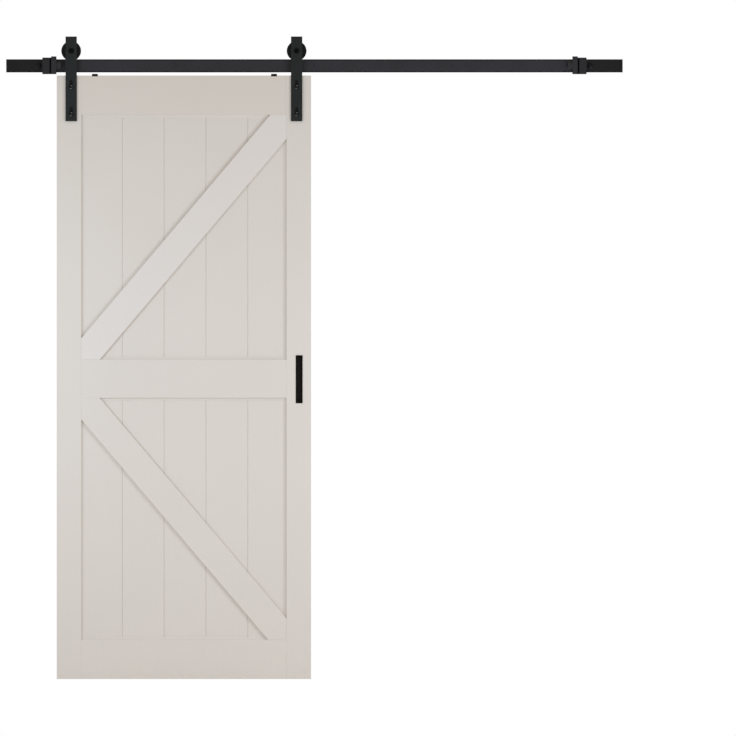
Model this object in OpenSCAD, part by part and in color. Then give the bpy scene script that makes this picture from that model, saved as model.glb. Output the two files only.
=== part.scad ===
// Sliding barn door: a braced plank leaf hung from a flat steel rail on two
// strap hangers with grooved wheels. Millimetres, +Z up. The wall is the plane
// y = 0 and the front faces -Y. The origin is on the wall plane, behind the
// middle of the rail.

/* [Rail] */
// Length of the flat rail
rail_l = 2182; // [1900:1:2700]
// Height of the rail
rail_h = 46.5; // [36:0.5:60]
// Thickness of the rail
rail_t = 6; // [5:0.5:8]
// Length of the wall spacers, which is the rail's distance from the wall
spacer_l = 24.5; // [22:0.5:40]
// Outside diameter of the wall spacers
spacer_d = 22; // [18:1:26]
// Number of wall fixings
wall_bolt_count = 5; // [3:1:7]
// Distance from each end of the rail to the first wall fixing
wall_bolt_inset = 115; // [100:1:122]
// Shank diameter of the wall bolts
wall_bolt_d = 8; // [6:0.5:10]
// Length of the wall bolts beyond the wall plane
wall_bolt_grip = 55; // [40:1:80]

/* [End stops] */
// Distance from each end of the rail to its stop block
stop_margin = 128; // [128:1:200]
// Width of the stop block along the rail
stop_block_w = 25.5; // [20:0.5:40]
// Thickness of the rubber pad between block and plate
stop_pad_w = 5.5; // [2:0.5:8]
// Width of the stop plate along the rail
stop_plate_w = 19; // [12:1:30]
// Steel left around the rail on each side of the window
stop_wall = 6; // [5:0.5:10]
// How far the plate stands above the block
stop_plate_rise = 4.2; // [0:0.2:8]
// Width across the flats of the hexagonal buffer
buffer_af = 28; // [22:1:36]
// Length of the hexagonal buffer
buffer_l = 16; // [12:1:24]
// Diameter of the buffer stud
buffer_stud_d = 8; // [6:1:10]
// Diameter of the set screws under the stop block
set_screw_d = 6; // [4:1:6]

/* [Door leaf] */
// Width of the leaf
leaf_w = 900; // [700:1:1100]
// Height of the leaf
leaf_h = 2136; // [1780:1:2600]
// Thickness of the frame members
leaf_t = 35; // [29:1:42]
// Gap between the underside of the rail and the top of the leaf
leaf_gap = 11; // [9:0.5:16]
// Distance from the stop plate to the edge of the closed leaf
leaf_inset = 1; // [0:0.5:10]
// Width of the stiles
stile_w = 87; // [72:1:120]
// Height of the top rail of the leaf
top_rail_h = 139; // [110:1:180]
// Height of the middle rail of the leaf
mid_rail_h = 136; // [110:1:180]
// Height of the bottom rail of the leaf
bottom_rail_h = 139; // [110:1:180]
// Height of the middle rail's centre above the bottom of the leaf
mid_rail_z = 1063; // [880:1:1280]
// Width of the diagonal braces
brace_w = 99; // [80:1:130]
// How far to the right the foot of the upper brace stands off its corner
brace_foot_shift = 1; // [0:0.5:10]
// How far to the right the head of the upper brace stands off its corner
brace_head_shift = 7.5; // [0:0.5:12]
// Number of planks across each panel
plank_count = 5; // [4:1:8]
// How far the joints of the planks stand to the right of an even spacing
plank_shift = 4; // [0:0.5:12]
// Thickness of the planks
plank_t = 15; // [12:1:18]
// Depth of the groove around the inside of the frame
groove_d = 8; // [6:0.5:12]
// Width of the chamfers that make the V joints
v_cut = 1.5; // [1:0.5:4]
// Width of the bevelled bead around each panel
bead_w = 9.5; // [6:0.5:14]
// Height of the bead where it meets the frame
bead_h = 3.5; // [2:0.5:6]
// Length of the tongue on each plank
tongue_l = 6; // [4:0.5:8]
// Thickness of the tongue on each plank
tongue_t = 5; // [3:0.5:6]
// Diameter of the frame dowels
dowel_d = 10; // [8:1:12]
// Length of the frame dowels
dowel_l = 50; // [40:1:60]
// Distance between the two dowels of a joint
dowel_pitch = 70; // [50:1:80]

/* [Hangers] */
// Width of the hanger straps
strap_w = 40; // [32:1:50]
// Thickness of the hanger straps
strap_t = 5; // [4:0.5:6]
// Length of the hanger straps
strap_l = 300; // [260:1:360]
// How far the strap stands above the axle
strap_rise = 51; // [40:1:60]
// Distance from the edge of the leaf to the middle of the strap
strap_inset = 51; // [42:1:60]
// Thickness of the backing strip behind each strap
pad_t = 1.5; // [1:0.5:3]
// Diameter of the wheels
wheel_d = 70; // [62:1:84]
// Width of the wheels
wheel_w = 20; // [18:1:24]
// How far the wheel flanges reach below the top of the rail
flange_h = 5.6; // [4:0.2:8]
// Diameter of the axle bolts
axle_d = 10; // [8:1:12]
// Diameter of the door bolts
door_bolt_d = 10; // [8:1:12]
// Distance from the top of the leaf to the first door bolt
door_bolt_drop = 41; // [36:1:50]
// Distance between the two door bolts of a strap
door_bolt_pitch = 96; // [80:1:100]
// Height adjustment given by the slots in the straps
slot_travel = 20; // [10:1:22]

/* [Bearings] */
// Outside diameter of the wheel bearings
bearing_od = 30; // [28:1:32]
// Width of the wheel bearings
bearing_w = 9; // [8:0.5:10]
// Number of balls in each bearing
ball_count = 8; // [6:1:9]
// Diameter of the balls
ball_d = 5; // [4:0.5:5]

/* [Pull and anti-jump discs] */
// Width of the flush pull
pull_w = 24; // [22:1:40]
// Height of the flush pull
pull_l = 170; // [140:1:220]
// Width of the rim around the finger recess
pull_rim = 5; // [4:0.5:7]
// Thickness of the rim
pull_t = 2; // [1.5:0.5:3]
// Depth of the finger recess below the face of the leaf
pull_depth = 12; // [8:1:16]
// Distance from the edge of the leaf to the middle of the pull
pull_inset = 42; // [30:0.5:60]
// How far the middle of the pull lies below the middle rail's centre
pull_drop = 2; // [0:1:60]
// Distance between the two screws of the pull
pull_screw_pitch = 133; // [110:1:136]
// Diameter of the anti-jump discs
disc_d = 21; // [18:1:26]
// Thickness of the anti-jump discs
disc_t = 9; // [7:0.5:12]
// Depth of the notches that the anti-jump discs are sunk in
disc_sink = 3; // [0:0.5:6]
// Distance from each side edge of the leaf to the anti-jump disc's centre
disc_inset = 133; // [110:1:200]
// How far both discs stand to the right of those places
disc_shift = 2; // [0:0.5:6]

/* [Hidden] */
$fn = 64;

// Fits
slip = 0.15;          // window of a stop around the rail
wood_fit = 0.1;       // between parts of the leaf
bore_fit = 0.05;      // shank in its own hole, on the radius
clear_fit = 0.5;      // bolt in a clearance hole, on the radius
roll_gap = 0.3;       // between the bottom of the wheel groove and the rail
race_gap = 0.3;       // between the balls and the inner race
over = 1;             // how far a cutter runs past a face

// Planes along Y
rail_back_y = -spacer_l;
rail_front_y = rail_back_y - rail_t;
rail_mid_y = rail_back_y - rail_t / 2;
leaf_mid_y = rail_mid_y;
leaf_back_y = leaf_mid_y + leaf_t / 2;
leaf_front_y = leaf_mid_y - leaf_t / 2;
panel_front_y = leaf_mid_y - plank_t / 2;
panel_back_y = leaf_mid_y + plank_t / 2;
strap_back_y = leaf_front_y - pad_t;
strap_front_y = strap_back_y - strap_t;
strap_mid_y = strap_back_y - strap_t / 2;
bearing_front_y = rail_mid_y - bearing_w / 2;
bearing_back_y = rail_mid_y + bearing_w / 2;

// Wall fixings
wall_bolt_last = rail_l / 2 - wall_bolt_inset;
wall_bolt_pitch = 2 * wall_bolt_last / (wall_bolt_count - 1);
wall_bolt_flange_d = 20;
wall_bolt_flange_t = 2;
wall_bolt_af = 13;
wall_bolt_head_h = 5.5;
thread_step = 0.2;    // the threaded length is this much smaller in radius
bolt_tip = 6;

// End stops
stop_block_x = rail_l / 2 - stop_margin - stop_block_w;
stop_pad_x = stop_block_x - stop_pad_w;
stop_plate_x = stop_pad_x - stop_plate_w;
buffer_x = stop_plate_x - buffer_l;
stop_half_h = rail_h / 2 + slip + stop_wall;
stop_plate_mid_z = stop_plate_rise / 2;
stop_front_y = strap_mid_y - buffer_af / 2 - 1;
stop_back_y = rail_back_y + slip + stop_wall;
pad_setback = 3;      // of the rubber pad behind the faces of the block
bead_lip = 0.5;       // thickness of the bead at its thin edge
stud_in_buffer = 8;
stud_in_block = 20;
set_screw_spread = 6;

// Door leaf
leaf_left = -stop_plate_x + leaf_inset;
leaf_right = leaf_left + leaf_w;
leaf_mid_x = leaf_left + leaf_w / 2;
leaf_top = -rail_h / 2 - leaf_gap;
leaf_bottom = leaf_top - leaf_h;
open_left = leaf_left + stile_w;
open_right = leaf_right - stile_w;
open_w = open_right - open_left;
mid_rail_top = leaf_bottom + mid_rail_z + mid_rail_h / 2;
mid_rail_bottom = mid_rail_top - mid_rail_h;
upper_open_h = leaf_top - top_rail_h - mid_rail_top;
lower_open_z = leaf_bottom + bottom_rail_h;
lower_open_h = mid_rail_bottom - lower_open_z;
groove_insert = groove_d - 1;
plank_pitch = (open_w + 2 * groove_insert) / plank_count;
brace_t = panel_front_y - leaf_front_y;

// Hangers
groove_r = wheel_d / 2 - flange_h;
axle_z = rail_h / 2 + roll_gap + groove_r;
strap_top = axle_z + strap_rise;
strap_x = [leaf_left + strap_inset, leaf_right - strap_inset];
door_bolt_z = [leaf_top - door_bolt_drop, leaf_top - door_bolt_drop - door_bolt_pitch];
door_bolt_head_d = 1.75 * door_bolt_d;
door_bolt_head_h = 0.5 * door_bolt_d;
sleeve_wall = 1.5;
sleeve_l = 24;
sleeve_flange_d = door_bolt_d + 14;
sleeve_flange_t = 1.5;
sleeve_r = door_bolt_d / 2 + sleeve_wall;
bush_r = axle_d / 2 + 2;
axle_af = 1.7 * axle_d;
axle_head_h = 0.64 * axle_d;
axle_washer_t = 1.5;
axle_nut_h = 0.85 * axle_d;
axle_end = 1.5;       // bolt end beyond the nut
groove_w = rail_t + 1.2;
flank = 3;            // how far each side of the wheel groove leans out
wheel_edge = 1.5;
face_dish = 1.5;

// Bearings
ball_pitch_r = (bearing_od / 2 + axle_d / 2) / 2 + 0.6;
ball_r = ball_d / 2;
inner_race_r = ball_pitch_r - 1.6;
outer_race_r = ball_pitch_r + 1.6;
shield_t = 0.5;
shield_gap = 0.4;

// Pull and discs
pull_x = leaf_right - pull_inset;
pull_z = leaf_bottom + mid_rail_z - pull_drop;
pull_wall = 1.2;
pull_screw_d = 3.5;
pull_screw_l = 18;
pull_head_d = 7;
disc_screw_d = 5;
disc_screw_l = 40;
disc_head_d = 9.5;
disc_x = [leaf_left + disc_inset + disc_shift, leaf_right - disc_inset + disc_shift];
disc_fit = 0.2;       // disc in its notch, on the radius
disc_z = leaf_top - disc_sink;

steel_black = "#37383a";
hanger_black = "#2f3232";
nylon_black = "#1d1e1f";
rubber_black = "#161616";
bright_steel = "#9a9c9e";
door_paint = "#d5d0cb";
beech = "#c9a878";

// A round bar along Y between two planes
module bar_y(r, y0, y1) {
    translate([0, y1, 0])
        rotate([90, 0, 0])
            cylinder(r = r, h = y1 - y0);
}

// A hexagonal prism along Y between two planes, with two flats vertical
module hex_y(af, y0, y1) {
    translate([0, y1, 0])
        rotate([90, 0, 0])
            rotate([0, 0, 30])
                cylinder(d = af / cos(30), h = y1 - y0, $fn = 6);
}

// A box between two corners
module block(a, b) {
    translate(a)
        cube(b - a);
}

// Puts its child at both ends of the rail, the left one mirrored
module at_end(side) {
    mirror([side < 0 ? 1 : 0, 0, 0])
        children();
}

// ---------------------------------------------------------------- rail

function wall_bolt_x(i) = -wall_bolt_last + i * wall_bolt_pitch;

module rail() {
    color(steel_black)
        difference() {
            block([-rail_l / 2, rail_front_y, -rail_h / 2], [rail_l / 2, rail_back_y, rail_h / 2]);
            for (i = [0 : wall_bolt_count - 1])
                translate([wall_bolt_x(i), 0, 0])
                    bar_y(wall_bolt_d / 2 + bore_fit, rail_front_y - over, rail_back_y + over);
            for (i = [1 : wall_bolt_count - 2])
                translate([wall_bolt_x(i), 0, 0])
                    sunk_head(bore_fit);
        }
}

// Countersunk head that fills the front face of the rail
module sunk_head(grow) {
    translate([0, rail_front_y, 0])
        rotate([-90, 0, 0])
            cylinder(r1 = wall_bolt_d + grow, r2 = wall_bolt_d / 2 + grow, h = wall_bolt_d / 2);
}

module wall_spacers() {
    color(steel_black)
        for (i = [0 : wall_bolt_count - 1])
            translate([wall_bolt_x(i), 0, 0])
                difference() {
                    bar_y(spacer_d / 2, rail_back_y, 0);
                    bar_y(wall_bolt_d / 2 + bore_fit, rail_back_y - over, over);
                }
}

// Shank through rail and spacer, then the threaded length with its point
module wall_bolt_shank() {
    thread_r = wall_bolt_d / 2 - thread_step;
    bar_y(wall_bolt_d / 2, rail_front_y, 0);
    bar_y(thread_r, -over, wall_bolt_grip);
    translate([0, wall_bolt_grip, 0])
        rotate([-90, 0, 0])
            cylinder(r1 = thread_r, r2 = 1, h = bolt_tip);
}

module end_wall_bolts() {
    flange_y = rail_front_y - wall_bolt_flange_t;
    color(steel_black)
        for (i = [0, wall_bolt_count - 1])
            translate([wall_bolt_x(i), 0, 0])
                union() {
                    wall_bolt_shank();
                    bar_y(wall_bolt_flange_d / 2, flange_y, rail_front_y);
                    hex_y(wall_bolt_af, flange_y - wall_bolt_head_h, flange_y);
                }
}

module inner_wall_screws() {
    color(steel_black)
        for (i = [1 : wall_bolt_count - 2])
            translate([wall_bolt_x(i), 0, 0])
                difference() {
                    union() {
                        wall_bolt_shank();
                        sunk_head(0);
                    }
                    hex_y(5, rail_front_y - over, rail_front_y + 3);
                }
}

// ---------------------------------------------------------------- end stops

// Collar that slips over the rail between two planes along X
module rail_collar(x0, x1, low, high, inset) {
    difference() {
        block([x0, stop_front_y + inset, low], [x1, stop_back_y - inset, high]);
        block([x0 - over, rail_front_y - slip, -rail_h / 2 - slip],
              [x1 + over, rail_back_y + slip, rail_h / 2 + slip]);
    }
}

// Hole for the buffer stud, along X at the height of the plate's middle
module stud_hole(x0, x1) {
    translate([x0, strap_mid_y, stop_plate_mid_z])
        rotate([0, 90, 0])
            cylinder(r = buffer_stud_d / 2 + bore_fit, h = x1 - x0);
}

module stop_block(side) {
    color(steel_black)
        at_end(side)
            difference() {
                rail_collar(stop_block_x, stop_block_x + stop_block_w, -stop_half_h, stop_half_h, 0);
                stud_hole(stop_block_x - over, stop_block_x + stud_in_block + 1);
                for (dx = [-set_screw_spread, set_screw_spread])
                    translate([stop_block_x + stop_block_w / 2 + dx, rail_mid_y, -stop_half_h - over])
                        cylinder(d = set_screw_d + 2 * bore_fit, h = stop_wall + 2 * over);
            }
}

module stop_pad(side) {
    color(rubber_black)
        at_end(side)
            difference() {
                rail_collar(stop_pad_x, stop_block_x, -stop_half_h, stop_half_h, pad_setback);
                stud_hole(stop_pad_x - over, stop_block_x + over);
            }
}

module stop_plate(side) {
    color(steel_black)
        at_end(side)
            difference() {
                rail_collar(stop_plate_x, stop_pad_x, -stop_half_h, stop_half_h + stop_plate_rise, 0);
                stud_hole(stop_plate_x - over, stop_pad_x + over);
            }
}

module stop_buffer(side) {
    color(rubber_black)
        at_end(side)
            difference() {
                translate([buffer_x, strap_mid_y, stop_plate_mid_z])
                    rotate([0, 90, 0])
                        cylinder(d = buffer_af / cos(30), h = buffer_l, $fn = 6);
                stud_hole(stop_plate_x - stud_in_buffer, stop_plate_x + over);
            }
}

module buffer_studs() {
    color(bright_steel)
        for (side = [-1, 1])
            at_end(side)
                translate([stop_plate_x - stud_in_buffer, strap_mid_y, stop_plate_mid_z])
                    rotate([0, 90, 0])
                        cylinder(d = buffer_stud_d,
                                 h = stud_in_buffer + stop_plate_w + stop_pad_w + stud_in_block);
}

module stop_set_screws() {
    color(steel_black)
        for (side = [-1, 1], dx = [-set_screw_spread, set_screw_spread])
            at_end(side)
                translate([stop_block_x + stop_block_w / 2 + dx, rail_mid_y, -stop_half_h])
                    difference() {
                        cylinder(d = set_screw_d, h = stop_wall + slip);
                        translate([0, 0, -over])
                            cylinder(d = set_screw_d / 2, h = over + 3, $fn = 6);
                    }
}

// ---------------------------------------------------------------- door leaf

// Holes for the pair of dowels at one end of a rail of the leaf
module dowel_pair(x, z, grow) {
    for (dz = [-dowel_pitch / 2, dowel_pitch / 2])
        translate([x - dowel_l / 2 - grow, leaf_mid_y, z + dz])
            rotate([0, 90, 0])
                cylinder(d = dowel_d + 2 * grow, h = dowel_l + 2 * grow);
}

rail_centres = [leaf_top - top_rail_h / 2, leaf_bottom + mid_rail_z, leaf_bottom + bottom_rail_h / 2];

module frame_dowels() {
    color(beech)
        for (x = [open_left, open_right], z = rail_centres)
            dowel_pair(x, z, 0);
}

// Plain stile with its groove, its dowel holes and the holes of its door bolts
module stile(x0, inner_x, toward, strap) {
    groove_x = inner_x + toward * groove_d;
    difference() {
        block([x0, leaf_front_y, leaf_bottom], [x0 + stile_w, leaf_back_y, leaf_top]);
        block([min(groove_x, inner_x) - (toward > 0 ? over : 0),
               panel_front_y - wood_fit, leaf_bottom - over],
              [max(groove_x, inner_x) + (toward < 0 ? over : 0),
               panel_back_y + wood_fit, leaf_top + over]);
        for (z = rail_centres)
            dowel_pair(inner_x, z, bore_fit);
        for (z = door_bolt_z)
            translate([strap, 0, z]) {
                bar_y(door_bolt_d / 2 + clear_fit, leaf_front_y - over, leaf_back_y);
                bar_y(sleeve_r + wood_fit, leaf_back_y - sleeve_l - over, leaf_back_y + over);
            }
    }
}

module left_stile() {
    color(door_paint)
        stile(leaf_left, open_left, -1, strap_x[0]);
}

module right_stile() {
    color(door_paint)
        difference() {
            stile(open_right, open_right, 1, strap_x[1]);
            pull_mortise();
        }
}

// Rail of the leaf with tenons, and a groove in each edge that meets a panel
module leaf_rail(z0, h, groove_above, groove_below) {
    difference() {
        union() {
            block([open_left + wood_fit / 2, leaf_front_y, z0],
                  [open_right - wood_fit / 2, leaf_back_y, z0 + h]);
            block([open_left - groove_insert, panel_front_y, z0],
                  [open_right + groove_insert, panel_back_y, z0 + h]);
        }
        if (groove_above)
            block([open_left - groove_d - over, panel_front_y - wood_fit, z0 + h - groove_d],
                  [open_right + groove_d + over, panel_back_y + wood_fit, z0 + h + over]);
        if (groove_below)
            block([open_left - groove_d - over, panel_front_y - wood_fit, z0 - over],
                  [open_right + groove_d + over, panel_back_y + wood_fit, z0 + groove_d]);
        for (x = [open_left, open_right])
            dowel_pair(x, z0 + h / 2, bore_fit);
    }
}

module leaf_top_rail() {
    color(door_paint)
        difference() {
            leaf_rail(leaf_top - top_rail_h, top_rail_h, false, true);
            for (x = disc_x) {
                translate([x, leaf_mid_y, disc_z + disc_t - disc_screw_l - over])
                    cylinder(d = disc_screw_d + 2 * bore_fit, h = disc_screw_l + 2 * over);
                block([x - disc_d / 2 - disc_fit, leaf_front_y - over, disc_z],
                      [x + disc_d / 2 + disc_fit, leaf_back_y + over, leaf_top + over]);
            }
        }
}

module leaf_mid_rail() {
    color(door_paint)
        leaf_rail(mid_rail_bottom, mid_rail_h, true, true);
}

module leaf_bottom_rail() {
    color(door_paint)
        leaf_rail(leaf_bottom, bottom_rail_h, true, false);
}

// Section of a plank w wide: face at y = 0, groove on the left, tongue on the right
module plank_section(w, has_groove, has_tongue) {
    l = has_groove ? wood_fit : 0;
    r = w - (has_tongue ? wood_fit : 0);
    m = plank_t / 2;
    cl = has_groove ? v_cut : 0;
    cr = has_tongue ? v_cut : 0;
    union() {
        difference() {
            polygon([[l + cl, 0], [r - cr, 0], [r, cr], [r, plank_t - cr], [r - cr, plank_t],
                     [l + cl, plank_t], [l, plank_t - cl], [l, cl]]);
            if (has_groove)
                translate([l - over, m - tongue_t / 2 - wood_fit])
                    square([over + tongue_l + 2 * wood_fit, tongue_t + 2 * wood_fit]);
        }
        if (has_tongue)
            translate([r - over, m - tongue_t / 2])
                square([over + tongue_l, tongue_t]);
    }
}

// Where plank number i from the left begins
function plank_x(i) = i * plank_pitch + (i > 0 && i < plank_count ? plank_shift : 0);

// Plank number i from the left, between two heights
module plank(i, z0, h) {
    color(door_paint)
        translate([open_left - groove_insert + plank_x(i), panel_front_y, z0 - groove_insert])
            linear_extrude(h + 2 * groove_insert)
                plank_section(plank_x(i + 1) - plank_x(i), i > 0, i < plank_count - 1);
}

module upper_plank(i) {
    plank(i, mid_rail_top, upper_open_h);
}

module lower_plank(i) {
    plank(i, lower_open_z, lower_open_h);
}

// Diagonal board across a panel w by h, from bottom left to top right. Its
// centre line starts foot and ends head to the right of the panel's corners, its
// ends are cut to the frame, and each of its long sides is grown by fit.
module brace_board(w, h, foot, head, fit) {
    run = w + head - foot;
    rotate([90, 0, 0])
        linear_extrude(brace_t)
            intersection() {
                square([w, h]);
                translate([foot, 0])
                    rotate(atan(h / run))
                        translate([-brace_w, -brace_w / 2 - fit])
                            square([norm([run, h]) + 2 * brace_w, brace_w + 2 * fit]);
            }
}

// The upper brace's board, grown by fit on each side and standing past its ends by it
module upper_board(fit) {
    translate([open_left + wood_fit - fit, panel_front_y, mid_rail_top + wood_fit - fit])
        brace_board(open_w - 2 * wood_fit + 2 * fit, upper_open_h - 2 * wood_fit + 2 * fit,
                    brace_foot_shift, brace_head_shift, fit);
}

module lower_board(fit) {
    translate([open_right - wood_fit + fit, panel_front_y, lower_open_z + wood_fit - fit])
        mirror([1, 0, 0])
            brace_board(open_w - 2 * wood_fit + 2 * fit, lower_open_h - 2 * wood_fit + 2 * fit,
                        0, 0, fit);
}

module upper_brace() {
    color(door_paint)
        upper_board(0);
}

module lower_brace() {
    color(door_paint)
        lower_board(0);
}

// Bevelled bead around a panel w by h: four wedges on the panel, thick at the frame
module bead_ring(w, h) {
    for (side = [0, 1]) {
        translate([side * w, 0, 0])
            mirror([side, 0, 0])
                linear_extrude(h)
                    polygon([[0, 0], [bead_w, 0], [bead_w, -bead_lip], [0, -bead_h]]);
        translate([0, 0, side * h])
            mirror([0, 0, side])
                rotate([90, 0, 90])
                    linear_extrude(w)
                        polygon([[0, 0], [-bead_h, 0], [-bead_lip, bead_w], [0, bead_w]]);
    }
}

module upper_panel_bead() {
    color(door_paint)
        difference() {
            translate([open_left, panel_front_y, mid_rail_top])
                bead_ring(open_w, upper_open_h);
            translate([0, over, 0])
                upper_board(wood_fit);
        }
}

module lower_panel_bead() {
    color(door_paint)
        difference() {
            translate([open_left, panel_front_y, lower_open_z])
                bead_ring(open_w, lower_open_h);
            translate([0, over, 0])
                lower_board(wood_fit);
        }
}

// ---------------------------------------------------------------- hangers

// Upright slot along Y, with the door bolt at its lower end
module bolt_slot(y0, y1) {
    r = door_bolt_d / 2 + clear_fit;
    bar_y(r, y0, y1);
    translate([0, 0, slot_travel])
        bar_y(r, y0, y1);
    block([-r, y0, 0], [r, y1, slot_travel]);
}

module hanger_strap(x) {
    color(hanger_black)
        difference() {
            block([x - strap_w / 2, strap_front_y, strap_top - strap_l],
                  [x + strap_w / 2, strap_back_y, strap_top]);
            translate([x, 0, axle_z])
                bar_y(axle_d / 2 + bore_fit, strap_front_y - over, strap_back_y + over);
            for (z = door_bolt_z)
                translate([x, 0, z])
                    bolt_slot(strap_front_y - over, strap_back_y + over);
        }
}

module strap_pad(x) {
    color(rubber_black)
        difference() {
            block([x - strap_w / 2, strap_back_y, strap_top - strap_l],
                  [x + strap_w / 2, leaf_front_y, leaf_top]);
            for (z = door_bolt_z)
                translate([x, 0, z])
                    bar_y(door_bolt_d / 2 + clear_fit, strap_back_y - over, leaf_front_y + over);
        }
}

// Domed head with a hexagonal socket, standing out of y = 0 towards the front
module button_head(d, h, socket) {
    dome_r = (h * h + d * d / 4) / (2 * h);
    rotate([90, 0, 0])
        difference() {
            intersection() {
                translate([0, 0, h - dome_r])
                    sphere(r = dome_r);
                cylinder(d = d, h = h + over);
            }
            translate([0, 0, h - socket / 2])
                cylinder(d = socket / cos(30), h = socket, $fn = 6);
        }
}

module door_bolts() {
    shank_l = leaf_back_y - sleeve_l + 14 - strap_front_y;
    color(hanger_black)
        for (x = strap_x, z = door_bolt_z)
            translate([x, strap_front_y, z])
                union() {
                    button_head(door_bolt_head_d, door_bolt_head_h, 6);
                    bar_y(door_bolt_d / 2, 0, shank_l);
                }
}

module door_sleeve_nuts() {
    color(bright_steel)
        for (x = strap_x, z = door_bolt_z)
            translate([x, 0, z])
                difference() {
                    union() {
                        bar_y(sleeve_r, leaf_back_y - sleeve_l, leaf_back_y);
                        bar_y(sleeve_flange_d / 2, leaf_back_y, leaf_back_y + sleeve_flange_t);
                    }
                    bar_y(door_bolt_d / 2 + bore_fit, leaf_back_y - sleeve_l - over,
                          leaf_back_y - sleeve_l + 16);
                    hex_y(6, leaf_back_y - 3, leaf_back_y + sleeve_flange_t + over);
                }
}

module axle_bolt(x) {
    end_y = bearing_back_y + axle_washer_t + axle_nut_h + axle_end;
    color(hanger_black)
        translate([x, 0, axle_z])
            union() {
                rotate([0, 30, 0])
                    hex_y(axle_af, strap_front_y - axle_head_h, strap_front_y);
                bar_y(axle_d / 2, strap_front_y, end_y);
            }
}

module axle_bush(x) {
    color(bright_steel)
        translate([x, 0, axle_z])
            difference() {
                bar_y(bush_r, strap_back_y, bearing_front_y);
                bar_y(axle_d / 2 + bore_fit, strap_back_y - over, bearing_front_y + over);
            }
}

module axle_washers() {
    color(bright_steel)
        for (x = strap_x)
            translate([x, 0, axle_z])
                difference() {
                    bar_y(inner_race_r, bearing_back_y, bearing_back_y + axle_washer_t);
                    bar_y(axle_d / 2 + bore_fit, bearing_back_y - over,
                          bearing_back_y + axle_washer_t + over);
                }
}

module axle_nuts() {
    nut_y = bearing_back_y + axle_washer_t;
    collar = 2.5;
    color(bright_steel)
        for (x = strap_x)
            translate([x, 0, axle_z])
                difference() {
                    union() {
                        hex_y(axle_af, nut_y, nut_y + axle_nut_h - collar);
                        bar_y(axle_af / 2 - 1, nut_y, nut_y + axle_nut_h);
                    }
                    bar_y(axle_d / 2 + bore_fit, nut_y - over, nut_y + axle_nut_h + over);
                }
}

// Grooved wheel with dished faces and a pocket for its bearing
module wheel(x) {
    w = wheel_w / 2;
    r = wheel_d / 2;
    g = groove_w / 2;
    bearing_r = bearing_od / 2 + bore_fit;
    dish = [bearing_od / 2 + 3, groove_r - 1.5];
    color(nylon_black)
        translate([x, rail_mid_y, axle_z])
            rotate([90, 0, 0])
                rotate_extrude($fn = 128)
                    polygon([
                        [bearing_r, -w], [dish[0], -w], [dish[0] + face_dish, face_dish - w],
                        [dish[1] - face_dish, face_dish - w], [dish[1], -w],
                        [r - wheel_edge, -w], [r, wheel_edge - w], [r, -g - flank],
                        [groove_r, -g], [groove_r, g],
                        [r, g + flank], [r, w - wheel_edge], [r - wheel_edge, w],
                        [dish[1], w], [dish[1] - face_dish, w - face_dish],
                        [dish[0] + face_dish, w - face_dish], [dish[0], w],
                        [bearing_r - 2, w], [bearing_r - 2, bearing_w / 2], [bearing_r, bearing_w / 2]
                    ]);
}

// Outer ring with its ball track, and the two shields pressed into it
module bearing_outer_ring(x) {
    h = bearing_w / 2;
    color(bright_steel)
        translate([x, rail_mid_y, axle_z])
            rotate([90, 0, 0])
                rotate_extrude($fn = 96)
                    union() {
                        difference() {
                            translate([outer_race_r, -h])
                                square([bearing_od / 2 - outer_race_r, bearing_w]);
                            translate([ball_pitch_r, 0])
                                circle(r = ball_r + wood_fit, $fn = 48);
                        }
                        for (y = [-h, h - shield_t])
                            translate([inner_race_r + shield_gap, y])
                                square([outer_race_r - inner_race_r, shield_t]);
                    }
}

module bearing_inner_ring(x) {
    h = bearing_w / 2;
    color(bright_steel)
        translate([x, rail_mid_y, axle_z])
            rotate([90, 0, 0])
                rotate_extrude($fn = 96)
                    difference() {
                        translate([axle_d / 2 + bore_fit, -h])
                            square([inner_race_r - axle_d / 2 - bore_fit, bearing_w]);
                        translate([ball_pitch_r, 0])
                            circle(r = ball_r + race_gap, $fn = 48);
                    }
}

module bearing_balls(x) {
    color(bright_steel)
        for (i = [0 : ball_count - 1])
            translate([x, rail_mid_y, axle_z])
                rotate([0, i * 360 / ball_count, 0])
                    translate([ball_pitch_r, 0, 0])
                        sphere(d = ball_d, $fn = 24);
}

// ---------------------------------------------------------------- pull and discs

pull_pocket_w = pull_w - 2 * pull_rim;
pull_pocket_l = pull_l - 2 * pull_rim;

// Pocket cut into the stile for the body of the pull, with pilot holes
module pull_mortise() {
    w = pull_pocket_w / 2 + pull_wall + wood_fit;
    l = pull_pocket_l / 2 + pull_wall + wood_fit;
    floor_y = leaf_front_y + pull_depth + pull_wall + wood_fit;
    block([pull_x - w, leaf_front_y - over, pull_z - l], [pull_x + w, floor_y, pull_z + l]);
    for (dz = [-pull_screw_pitch / 2, pull_screw_pitch / 2])
        translate([pull_x, 0, pull_z + dz])
            bar_y(pull_screw_d / 2 + bore_fit, floor_y - over, leaf_front_y + pull_depth + pull_screw_l);
}

// Countersunk screw with its face on y = 0, running towards the back
module wood_screw(d, head_d, l, grow) {
    sink = (head_d - d) / 2;
    rotate([-90, 0, 0])
        union() {
            cylinder(r1 = head_d / 2 + grow, r2 = d / 2 + grow, h = sink);
            cylinder(r = d / 2 + grow, h = l - d);
            translate([0, 0, l - d])
                cylinder(r1 = d / 2 + grow, r2 = 0.5, h = d);
        }
}

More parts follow.
